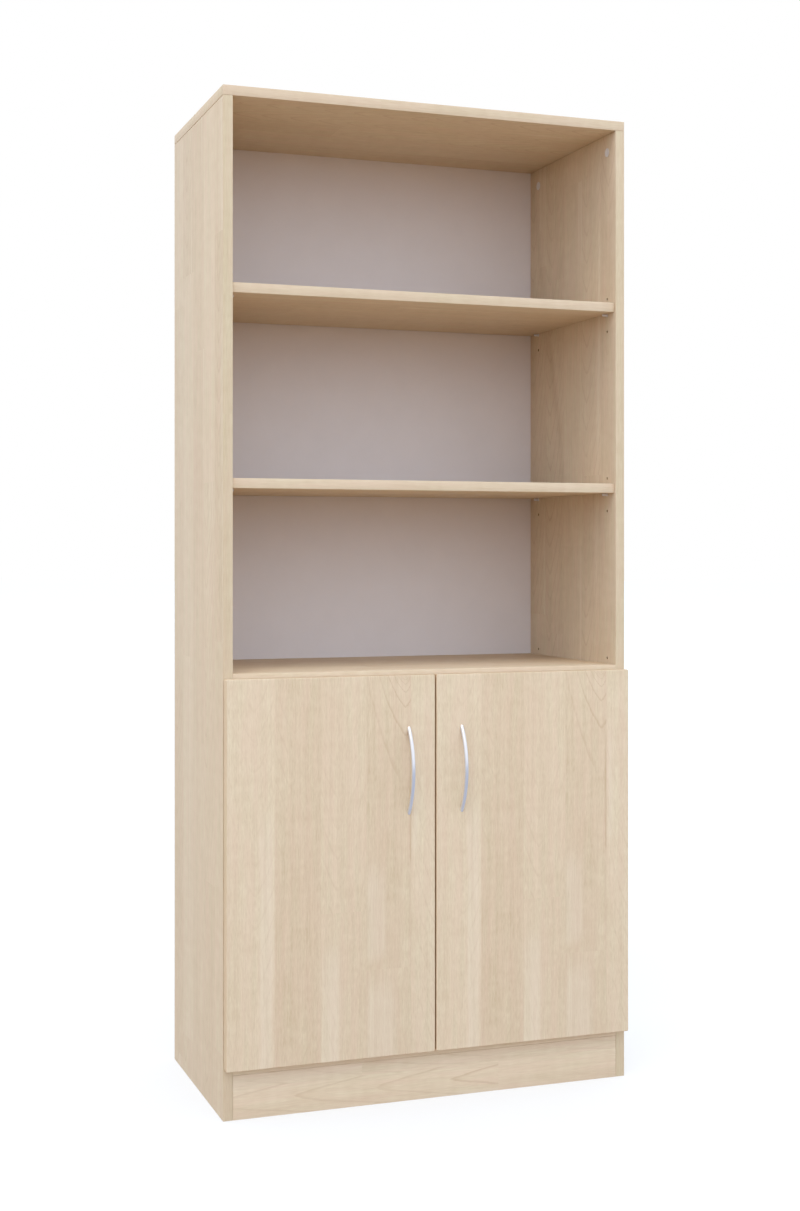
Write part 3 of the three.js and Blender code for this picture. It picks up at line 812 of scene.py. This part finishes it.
cap = {
    "profile": [  # share of the radius, metres off it, share of the length
        (0, 0, 0), (1, 0, 0), (1, 0, 0.4), (1, 0.0003, 0.85), (1, 0.0008, 1),
        (0.4, 0, 1), (0.36, 0, 0.8), (0, 0, 0.8),
    ],
    "steps": 48,
}


def turnedPiece(profile, steps, place):
    # Spins a profile of (radius, length along the axis) round Z, then sets it in its place
    mesh = bmesh.new()
    verts = [mesh.verts.new((radius, 0, height)) for radius, height in profile]
    edges = [mesh.edges.new(pair) for pair in zip(verts, verts[1:])]
    bmesh.ops.spin(
        mesh, geom=verts + edges, cent=(0, 0, 0), axis=(0, 0, 1), angle=2 * math.pi, steps=steps,
        use_merge=True,
    )
    bmesh.ops.remove_doubles(mesh, verts=mesh.verts, dist=1e-6)
    bmesh.ops.recalc_face_normals(mesh, faces=mesh.faces)
    bmesh.ops.transform(mesh, matrix=place, verts=mesh.verts)
    bmesh.ops.recalc_face_normals(mesh, faces=mesh.faces)
    return mesh


def addTurned(node, kind, profile, steps, finish, hand):
    # From a node's outer end towards the bookcase's middle
    start = middleOf(node)
    start.x = outerAndInner(*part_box(node), hand)[0]
    place = shift(start) @ Matrix.Rotation(hand * math.pi / 2, 4, "Y")
    finishPiece(turnedPiece(profile, steps, place), f"{node}_{kind}", "carcass", [finish], [node])


def pinProfile(radius, length, buried):
    collar, root, tip = pin["collarRadius"], pin["rootChamfer"], pin["tipChamfer"]
    edge, thick = pin["collarEdge"], pin["collarThickness"]
    face = buried + edge
    return [
        (0, 0), (radius - root, 0), (radius, root), (radius, face), (collar - edge, face),
        (collar, face + edge), (collar, buried + thick), (radius, face + thick),
        (radius, length - tip), (radius - tip, length), (0, length),
    ]


def addPins(side, hand):
    sideFace = outerAndInner(*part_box(f"side_panel_{side}"), hand)[1]
    for node in [f"{shelf}_pin_{row}_{side}" for shelf in boards["onPins"] for row in ("front", "rear")]:
        low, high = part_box(node)
        buried = abs(sideFace - outerAndInner(low, high, hand)[0])
        profile = pinProfile((high.z - low.z) / 2, high.x - low.x, buried)
        addTurned(node, "turned", profile, pin["steps"], pinSteel, hand)
    for node in [f"cam_cap_{row}_{side}" for row in ("front", "rear")]:
        low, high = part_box(node)
        radius, length = (high.z - low.z) / 2, high.x - low.x
        profile = [(radius * share - less, length * up) for share, less, up in cap["profile"]]
        addTurned(node, "moulded", profile, cap["steps"], capPlastic, hand)


onBothSides(addPins)
print("pins and caps made")

# Solids put together from simple parts, drawn in millimetres


def discMesh(centre, radius, low, high, axis="z", steps=24):
    mesh = bmesh.new()
    place = shift(centre) @ towards[axis] @ shift((0, 0, (low + high) / 2))
    addCone(mesh, place, (radius, radius), high - low, steps)
    return mesh


def strapMesh(points, radius, low, high, steps=24):
    # A strap drawn tight round equal circles
    mesh = bmesh.new()
    for x, y in points:
        addCone(mesh, shift((x, y, (low + high) / 2)), (radius, radius), high - low, steps)
    bmesh.ops.delete(mesh, geom=mesh.edges[:] + mesh.faces[:], context="EDGES_FACES")
    bmesh.ops.convex_hull(mesh, input=mesh.verts)
    bmesh.ops.delete(mesh, geom=[vert for vert in mesh.verts if not vert.link_faces], context="VERTS")
    bmesh.ops.dissolve_limit(mesh, angle_limit=0.01, verts=mesh.verts, edges=mesh.edges)
    bmesh.ops.recalc_face_normals(mesh, faces=mesh.faces)
    return mesh


def angleOf(start, end):
    return math.atan2(end[1] - start[1], end[0] - start[0])


def partWay(start, end, part):
    return tuple(a + (b - a) * part for a, b in zip(start, end))


def beyond(start, angle, distance):
    return (start[0] + distance * math.cos(angle), start[1] + distance * math.sin(angle))


def slabMesh(start, end, near, far, half):
    # A slab along a line, from one distance beside it to another
    turn = shift((*start, 0)) @ Matrix.Rotation(angleOf(start, end), 4, "Z")
    return cubeMesh((0, near, -half), (math.dist(start, end), far, half), turn)


def takenBack(objects):
    # The first object's mesh after its modifiers, and the objects are gone
    applyModifiers(objects[0])
    result = bmesh.new()
    result.from_mesh(objects[0].data)
    for part in objects:
        bpy.data.objects.remove(part)
    return result


def carved(adds, cuts, rounding):
    # Joins the first meshes, takes the others away, and rounds the sharp edges
    base, *others = objects = [meshObject(mesh) for mesh in [*adds, *cuts]]
    for i, part in enumerate(others, start=1):
        addBoolean(base, "UNION" if i < len(adds) else "DIFFERENCE", part)
    soften = base.modifiers.new("edges", "BEVEL")
    soften.width = rounding
    soften.segments = 2
    soften.limit_method = "ANGLE"
    soften.angle_limit = smoothing["pieces"]
    return takenBack(objects)


def meshOverlap(first, second):
    objects = [meshObject(first), meshObject(second)]
    addBoolean(objects[0], "INTERSECT", objects[1])
    return takenBack(objects)


def gathered(meshes):
    whole = bmesh.new()
    for mesh in meshes:
        data = bpy.data.meshes.new("part")
        mesh.to_mesh(data)
        mesh.free()
        whole.from_mesh(data)
        bpy.data.meshes.remove(data)
    return whole


def placed(mesh, place):
    # Puts a copy of a mesh in its place, in metres, and turns its faces back if that mirrors it
    copy = mesh.copy()
    bmesh.ops.transform(copy, matrix=place, verts=copy.verts)
    if place.determinant() < 0:
        bmesh.ops.reverse_faces(copy, faces=copy.faces)
    return copy


def crossCuts(arm, half, low, high):
    return [cubeMesh((-x, -y, low), (x, y, high)) for x, y in ((arm, half), (half, arm))]


# Screws

screws = {  # profile, half length and depth of the cross
    "chipboard": ([(0, 0), (3.3, 0), (3.5, -0.25), (1.7, -2.1), (1.7, -11), (0, -13)], 1.9, 1.5),
    "cup": ([(0, 0.9), (2.4, 0.7), (3.2, 0.2), (3.2, 0.05), (1.6, -0.5), (1.6, -9), (0, -11)], 1.6, 1.0),
    "arm": ([(0, 0.5), (2.6, 0.5), (2.9, 0.2), (2.9, -1.4), (1.9, -1.6), (1.9, -3.4), (0, -3.4)], 1.7, 1.3),
    "handle": (
        [(0, 1.9), (2.2, 1.7), (3.6, 0.9), (3.9, 0.1), (3.9, 0), (1.9, 0), (1.9, -14), (0, -14)], 2.0, 1.4
    ),
}
screwCross = {"half": 0.4, "rounding": 0.08}


def screwMesh(kind):
    profile, arm, deep = screws[kind]
    top = profile[0][1]
    cuts = crossCuts(arm, screwCross["half"], top - deep, top + 1)
    return carved([turnedPiece(profile, 24, Matrix())], cuts, screwCross["rounding"])


screwMeshes = {kind: screwMesh(kind) for kind in screws}


def addScrew(kind, name, body, start, aim, turn):
    # Its head is at start and faces along aim, in metres
    point = Vector(aim).to_track_quat("Z", "Y").to_matrix().to_4x4()
    place = shift(start) @ point @ Matrix.Rotation(turn, 4, "Z") @ Matrix.Scale(mm, 4)
    finishPiece(placed(screwMeshes[kind], place), name, body, [nickel])


# Hinges, in the frame of the left half: X from the side's outer face, Y from its front edge

hinge = {
    "armOuter": (37, 6.9),  # the four pivots
    "armInner": (44, 5.6),
    "cupOuter": (13.4, -4.5),
    "cupInner": (16.4, -10.6),
    "pin": 1.1,
    "eyeHole": 1.4,
    "eye": 2.3,
    "armHalf": 9.5,
    "armSheet": 1.4,
    "armBar": (23.7, 20, 60.9, 3.1),  # centre, front, rear, radius
    "armNose": 3,
    "armPinPast": 0.35,
    "armPinRounding": 0.2,
    "armScrews": {"front": 31, "rear": 50},
    "armScrewSeat": (3.1, 0.5, 3),  # radius, from below the bar's top to above it
    "armScrewSunk": 0.2,
    "plateStart": 18.3,
    "plateSheet": 2,
    "plateHalf": 9,
    "plateReach": (21, 53),
    "wings": (37, 16, 7.5),  # depth, height, radius
    "wingHole": (2.0, 4.2, 2.2, 0.7),  # radii, length, middle below the sheet's top
    "wingScrewSunk": 0.15,
    "saddle": (20, 62, 7.6),  # front, rear, half height
    "saddleSunk": 0.3,
    "saddleWaist": (1.2, 0.8),  # before and behind the bar's centre
    "outerLink": (7.6, 1.4, 1.6),  # half height, sheet, half width
    "outerWeb": (0.2, 0.5),  # shares of its length
    "innerLink": (5.6, 1),  # half height, half thickness
    "innerBends": ((7.6, -0.3), (9, 11.1)),  # each from the one before
    "innerSlot": (29.2, 5.8, 1.8, 2.7),  # degrees off the link, length, radius, radius outside
    "cupCentre": 21.5,
    "cupFace": -1.7,
    "cupRadius": 17.2,
    "cupFloor": -14.4,
    "cupFloorSheet": 0.8,
    "cupWall": 1.3,
    "cupLane": (10, 2),  # half height, top
    "cupRoom": 20,
    "cupNotch": (2, -3.5),  # past the cup, bottom
    "cupPinHalf": 10.3,
    "flange": (18.2, 0.8),
    "ears": (27, 24, 6),  # centre, height, radius
    "earHole": 1.8,
    "past": 1,  # by which cuts pass the sheets
    "far": 64,  # past the arm's end
    "rounding": 0.22,
}


def plateMesh():
    start, thick, past = hinge["plateStart"], hinge["plateSheet"], hinge["past"]
    turn = Matrix(((0, 0, 1, 0), (1, 0, 0, 0), (0, 1, 0, 0), (0, 0, 0, 1)))
    low, high = hinge["plateReach"]
    depth, height, radius = hinge["wings"]
    flat = [
        strapMesh([(low, 0), (high, 0)], hinge["plateHalf"], 0, thick, 40),
        strapMesh([(depth, -height), (depth, height)], radius, 0, thick, 40),
    ]
    hole, sink, length, middle = hinge["wingHole"]
    cuts = []
    for z in (-height, height):
        cone = bmesh.new()
        addCone(cone, shift((depth, z, thick - middle)), (hole, sink), length, 32)
        cuts += [discMesh((depth, z, 0), hole, -past, thick + past), cone]
    for mesh in [*flat, *cuts]:
        bmesh.ops.transform(mesh, matrix=shift((start, 0, 0)) @ turn, verts=mesh.verts)
    front, rear, half = hinge["saddle"]
    bar, radius = hinge["armBar"][0], hinge["armBar"][3]
    top = start + thick + 2 * radius - hinge["armSheet"]
    block = cubeMesh((start + thick - hinge["saddleSunk"], front, -half), (top, rear, half))
    before, behind = hinge["saddleWaist"]
    for z in (half, -half):
        cuts.append(cubeMesh((bar - before, front - past, z - 1), (bar + behind, rear + past, z + 1)))
    return carved([*flat, block], cuts, hinge["rounding"])


def armMesh():
    bar, front, rear, radius = hinge["armBar"]
    outer, inner, root, end = hinge["armOuter"], hinge["armInner"], (bar, front), (bar, rear)
    half, sheet, nose = hinge["armHalf"], hinge["armSheet"], hinge["armNose"]
    cheek, far = half - sheet, hinge["far"]
    adds = [
        strapMesh([outer, inner, root], nose, -half, half, 40),
        strapMesh([root, end], radius, -half, half, 40),
    ]
    cuts = [
        cubeMesh((bar - far, front, -cheek), (bar + radius - sheet, far + hinge["past"], cheek)),
        slabMesh(inner, root, sheet - nose, far, cheek),
        slabMesh(beyond(inner, angleOf(root, inner), far), partWay(root, inner, 0.5), -far, far, cheek),
    ]
    seat, below, above = hinge["armScrewSeat"]
    for depth in hinge["armScrews"].values():
        cuts.append(discMesh((bar, depth, 0), seat, radius - below, radius + above, "x", 32))
    meshes = [carved(adds, cuts, hinge["rounding"])]
    reach = half + hinge["armPinPast"]
    for pivot in (outer, inner):
        rod = discMesh((*pivot, 0), hinge["pin"], -reach, reach)
        meshes.append(carved([rod], (), hinge["armPinRounding"]))
    return gathered(meshes)


def outerLinkMesh():
    half, thick, width = hinge["outerLink"]
    reach = half + hinge["past"]
    line = (hinge["armOuter"], hinge["cupOuter"])
    start, end = (partWay(*line, part) for part in hinge["outerWeb"])
    adds = [slabMesh(start, end, -hinge["eye"], -hinge["eye"] + thick, half)]
    for low in (-half, half - thick):
        adds.append(strapMesh(line, width, low, low + thick))
        adds += [discMesh((*pivot, 0), hinge["eye"], low, low + thick, steps=32) for pivot in line]
    cuts = [discMesh((*pivot, 0), hinge["eyeHole"], -reach, reach) for pivot in line]
    return carved(adds, cuts, hinge["rounding"])


def innerLinkMesh():
    half, thick = hinge["innerLink"]
    outer, inner = hinge["armInner"], hinge["cupInner"]
    reach = half + hinge["past"]
    turn, length, slot, outside = hinge["innerSlot"]
    slotEnd = beyond(outer, angleOf(inner, outer) + math.radians(turn), length)
    bends = [inner]
    for x, y in hinge["innerBends"]:
        bends.append((bends[-1][0] + x, bends[-1][1] + y))
    adds = [discMesh((*inner, 0), hinge["eye"], -half, half, steps=32)]
    adds += [strapMesh(line, thick, -half, half) for line in zip(bends, [*bends[1:], outer])]
    adds.append(strapMesh((slotEnd, outer), outside, -half, half, 32))
    cuts = [discMesh((*inner, 0), hinge["eyeHole"], -reach, reach)]
    cuts.append(strapMesh((slotEnd, outer), slot, -reach, reach))
    return carved(adds, cuts, hinge["rounding"])


def cupMesh():
    centre, radius, face, floor = (hinge[key] for key in ("cupCentre", "cupRadius", "cupFace", "cupFloor"))
    inside = floor + hinge["cupFloorSheet"]
    room = radius - hinge["cupWall"]
    half, top = hinge["cupLane"]
    flange, thick = hinge["flange"]
    earX, earZ, earRadius = hinge["ears"]
    ears = strapMesh([(earX, -earZ), (earX, earZ)], earRadius, 0, thick, 40)
    bmesh.ops.transform(ears, matrix=shift((0, face, 0)) @ towards["y"], verts=ears.verts)
    adds = [
        discMesh((centre, floor, 0), radius, 0, face + thick / 2 - floor, "y", 64),
        discMesh((centre, face, 0), flange, 0, thick, "y", 64),
        ears,
    ]
    lane = cubeMesh((centre - radius, inside, -half), (centre + radius, top, half))
    bowl = discMesh((centre, inside, 0), room, 0, hinge["cupRoom"], "y", 64)
    past, bottom = hinge["cupNotch"]
    notch = cubeMesh((centre - radius - past, bottom, -half), (centre - room / 2, top, half))
    cuts = [meshOverlap(lane, bowl), notch]
    for z in (-earZ, earZ):
        cuts.append(discMesh((earX, face, z), hinge["earHole"], -1, 3, "y"))
    reach = hinge["cupPinHalf"]
    pins = [discMesh((*hinge[pivot], 0), hinge["pin"], -reach, reach) for pivot in ("cupOuter", "cupInner")]
    return gathered([carved(adds, cuts, hinge["rounding"]), *pins])


hingeMeshes = {
    "plate": plateMesh(),
    "arm": armMesh(),
    "outer_link": outerLinkMesh(),
    "inner_link": innerLinkMesh(),
    "cup": cupMesh(),
}


def addHinge(level, side, hand):
    low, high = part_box(f"side_panel_{side}")
    height = middleOf(f"{level}_hinge_cup_{side}").z
    origin = (outerAndInner(low, high, hand)[0], low.y, height)
    half = shift(origin) @ Matrix.Diagonal((mm * hand, mm, mm, 1))
    carriers = {"plate": "carcass", "arm": "carcass", "cup": f"door_{side}"}
    for part, mesh in hingeMeshes.items():
        node = f"{level}_hinge_{part}_{side}"
        body = carriers.get(part, f"{part}s_{side}")
        finishPiece(placed(mesh, half), f"{node}_pressed", body, [nickel], [node])
    plateTop = hinge["plateStart"] + hinge["plateSheet"] - hinge["wingScrewSunk"]
    earTop = hinge["cupFace"] + hinge["flange"][1]
    depth, wing = hinge["wings"][:2]
    earX, earZ = hinge["ears"][:2]
    for tag, way, turn in (("low", -1, 0.3), ("high", 1, 1.1)):
        start = half @ Vector((plateTop, depth, way * wing))
        addScrew("chipboard", f"{level}_plate_screw_{tag}_{side}", "carcass", start, (hand, 0, 0), turn)
        start = half @ Vector((earX, earTop, way * earZ))
        addScrew("cup", f"{level}_cup_screw_{tag}_{side}", f"door_{side}", start, (0, 1, 0), turn)
    barTop = hinge["armBar"][0] + hinge["armBar"][3] - hinge["armScrewSunk"]
    for tag, seat in hinge["armScrews"].items():
        start = half @ Vector((barTop, seat, 0))
        addScrew("arm", f"{level}_arm_screw_{tag}_{side}", "carcass", start, (hand, 0, 0), 0.7)


def addHinges(side, hand):
    for level in ("lower", "upper"):
        addHinge(level, side, hand)


onBothSides(addHinges)
print("hinges made")

# Small fasteners: nails of the back, cams under two shelves, handle screws and door bumpers

fasteners = {
    "nail": [(0, -1.6), (2.0, -0.35), (2.15, -0.12), (1.2, -0.06), (0, -0.05)],
    "cam": [(0, -12.0), (7.3, -12.0), (7.4, -11.8), (7.4, -0.5), (7.0, -0.15), (0, -0.15)],
    "camCross": (4.2, 0.7, -2.2, 1),  # half length, half width, bottom, top
    "camRounding": 0.12,
    "bumper": [(0, 0), (4.0, 0), (4.0, 0.6), (3.3, 1.3), (1.8, 1.6), (0, 1.7)],
    "bumperInset": 0.014,  # from the door's free edge
    "highBumper": (0.0048, 1),  # from the door's top, and times the size
    "lowBumper": (0.0031, 0.62),
    "screwRow": 0.0735,  # of a handle's two screws from its middle
}


def addNails():
    nail = turnedPiece(fasteners["nail"], 16, Matrix())
    turn = towards["y"] @ Matrix.Scale(mm, 4)
    nails = gathered([placed(nail, shift(spot) @ turn) for spot in nailSpots()])
    finishPiece(nails, "back_nails", "carcass", [zinc])


def addCams():
    disc = turnedPiece(fasteners["cam"], 48, Matrix())
    cam = carved([disc], crossCuts(*fasteners["camCross"]), fasteners["camRounding"])
    for node in boards["onCams"]:
        for i, spot in enumerate(camSpots(node)):
            turn = Matrix.Rotation(math.pi, 4, "X") @ Matrix.Rotation(0.35 + i, 4, "Z") @ Matrix.Scale(mm, 4)
            mesh = placed(cam, shift(spot) @ turn)
            finishPiece(mesh, f"{node}_cam_{i}", "carcass", [zinc])


def addDoorFittings(side, hand):
    low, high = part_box(f"door_{side}")
    middle = middleOf(f"handle_{side}")
    for way, tag in ((-1, "low"), (1, "high")):
        start = (middle.x, high.y, middle.z + way * fasteners["screwRow"])
        addScrew("handle", f"handle_screw_{tag}_{side}", f"door_{side}", start, (0, 1, 0), 0.5 + way * 0.4)
    pad = turnedPiece(fasteners["bumper"], 32, Matrix())
    x = outerAndInner(low, high, hand)[1] - hand * fasteners["bumperInset"]
    for tag, end, way in (("high", high.z, -1), ("low", low.z, 1)):
        inset, size = fasteners[f"{tag}Bumper"]
        place = shift((x, high.y, end + way * inset)) @ towards["y"]
        mesh = placed(pad, place @ Matrix.Diagonal((mm * size, mm * size, mm, 1)))
        finishPiece(mesh, f"door_bumper_{tag}_{side}", f"door_{side}", [capPlastic])


addNails()
addCams()
onBothSides(addDoorFittings)
print("fasteners made")

# The nodes that stay get their finishes

for name, node in nodes.items():
    if node.hide_render:
        continue
    finish = zinc if name.startswith("cam_housing") else nickel
    node.data.materials.clear()
    node.data.materials.append(finish)
    node.data.shade_smooth()
    node.data.set_sharp_from_angle(angle=smoothing["keptNodes"])
print("carried-over nodes dressed")

# Floor, world and lamp

studio = {
    "floorHalf": 300,
    "floorRoughness": 0.9,
    "floorShade": (0.362, 0.275, 0.197),  # what the floor gives back to the bookcase
    "floorGlow": (0.544, 0.451, 0.374),  # the same, where no shadow darkens it
    "glowShare": 0.82,
    "floorWhite": (0.9, 0.9, 0.9),  # what the camera sees of it
    "glowShareSeen": 0.6,
    "floorMirrored": (0.505, 0.533, 0.606),  # what metal shows of it in front of the bookcase
    "floorMirroredFar": (1.0, 1.0, 1.0),  # and behind it
    "mirroredChange": (-0.3, 0.4),  # from the one to the other
    "sky": [  # from straight down, over the horizon in the middle, to straight up
        (0.0, (0.40, 0.40, 0.44)),
        (0.5, (0.93, 1.115, 1.38)),
        (0.65, (0.88, 1.045, 1.255)),
        (0.8, (0.66, 0.76, 0.895)),
        (1.0, (0.50, 0.557, 0.617)),
    ],
    "skyStrength": 1.66,
    "white": (1.0, 1.0, 1.0),
    "keyPlace": (-9.0, -14.0, 30.0),
    "keyTarget": (0, 0, 0.9),
    "keySize": 15.0,
    "keyPower": 2400,
    "keyColour": (1.0, 0.84, 0.68),
}


def raySignals(tree):  # from the camera, and by way of a mirror or glass
    path = tree.nodes.new("ShaderNodeLightPath").outputs
    return Signal(path["Is Camera Ray"]), Signal(path["Is Glossy Ray"]) + Signal(path["Is Transmission Ray"])


def addFloor():
    mesh = bmesh.new()
    bmesh.ops.create_grid(mesh, x_segments=1, y_segments=1, size=studio["floorHalf"])
    floor = meshObject(mesh, "floor")
    roughness = studio["floorRoughness"]
    material, shader, place = newFinish("floorPaint", Roughness=roughness, Specular_IOR_Level=0.0)
    tree = material.node_tree
    seen, mirrored = raySignals(tree)
    plug(shader.inputs["Base Color"], seen.mixed(studio["floorShade"], studio["floorWhite"]))
    back = place.parts()[1].between(*studio["mirroredChange"])
    shown = back.mixed(studio["floorMirrored"], studio["floorMirroredFar"])
    glowing = mirrored.clamped().mixed(seen.mixed(studio["floorGlow"], studio["white"]), shown)
    glow = seen.node("ShaderNodeEmission", {}, {"Color": glowing, "Strength": 1.0})
    share = seen * (studio["glowShareSeen"] - studio["glowShare"]) + studio["glowShare"]
    share = (share + mirrored).clamped()
    both = seen.node("ShaderNodeMixShader", {}, {0: share, 1: Signal(shader.outputs[0]), 2: glow})
    plug(tree.nodes["Material Output"].inputs["Surface"], both)
    floor.data.materials.append(material)


def lightWorld():
    world = bpy.data.worlds.new("studio")
    scene.world = world
    world.use_nodes = True
    tree = world.node_tree
    sky = tree.nodes["Background"]
    height = Signal(tree.nodes.new("ShaderNodeTexCoord").outputs["Generated"]).parts()[2]
    ramp = height.node("ShaderNodeValToRGB", {"stops": studio["sky"]}, {0: height * 0.5 + 0.5})
    plug(sky.inputs["Color"], ramp)
    plug(sky.inputs["Strength"], studio["skyStrength"])
    seen, mirrored = raySignals(tree)
    seen = (seen + mirrored).clamped()
    white = seen.node("ShaderNodeBackground", {}, {"Color": studio["white"], "Strength": 1.0})
    both = seen.node("ShaderNodeMixShader", {}, {0: seen, 1: Signal(sky.outputs[0]), 2: white})
    plug(tree.nodes["World Output"].inputs["Surface"], both)


def addKey():
    data = bpy.data.lights.new("key", "AREA")
    data.shape = "DISK"
    data.size = studio["keySize"]
    data.energy = studio["keyPower"]
    data.color = studio["keyColour"]
    lamp = newObject("key", data)
    lamp.location = studio["keyPlace"]
    aim = Vector(studio["keyTarget"]) - Vector(studio["keyPlace"])
    lamp.rotation_euler = aim.to_track_quat("-Z", "Y").to_euler()


addFloor()
lightWorld()
addKey()
scene.view_settings.view_transform = "Standard"
print("studio lit")
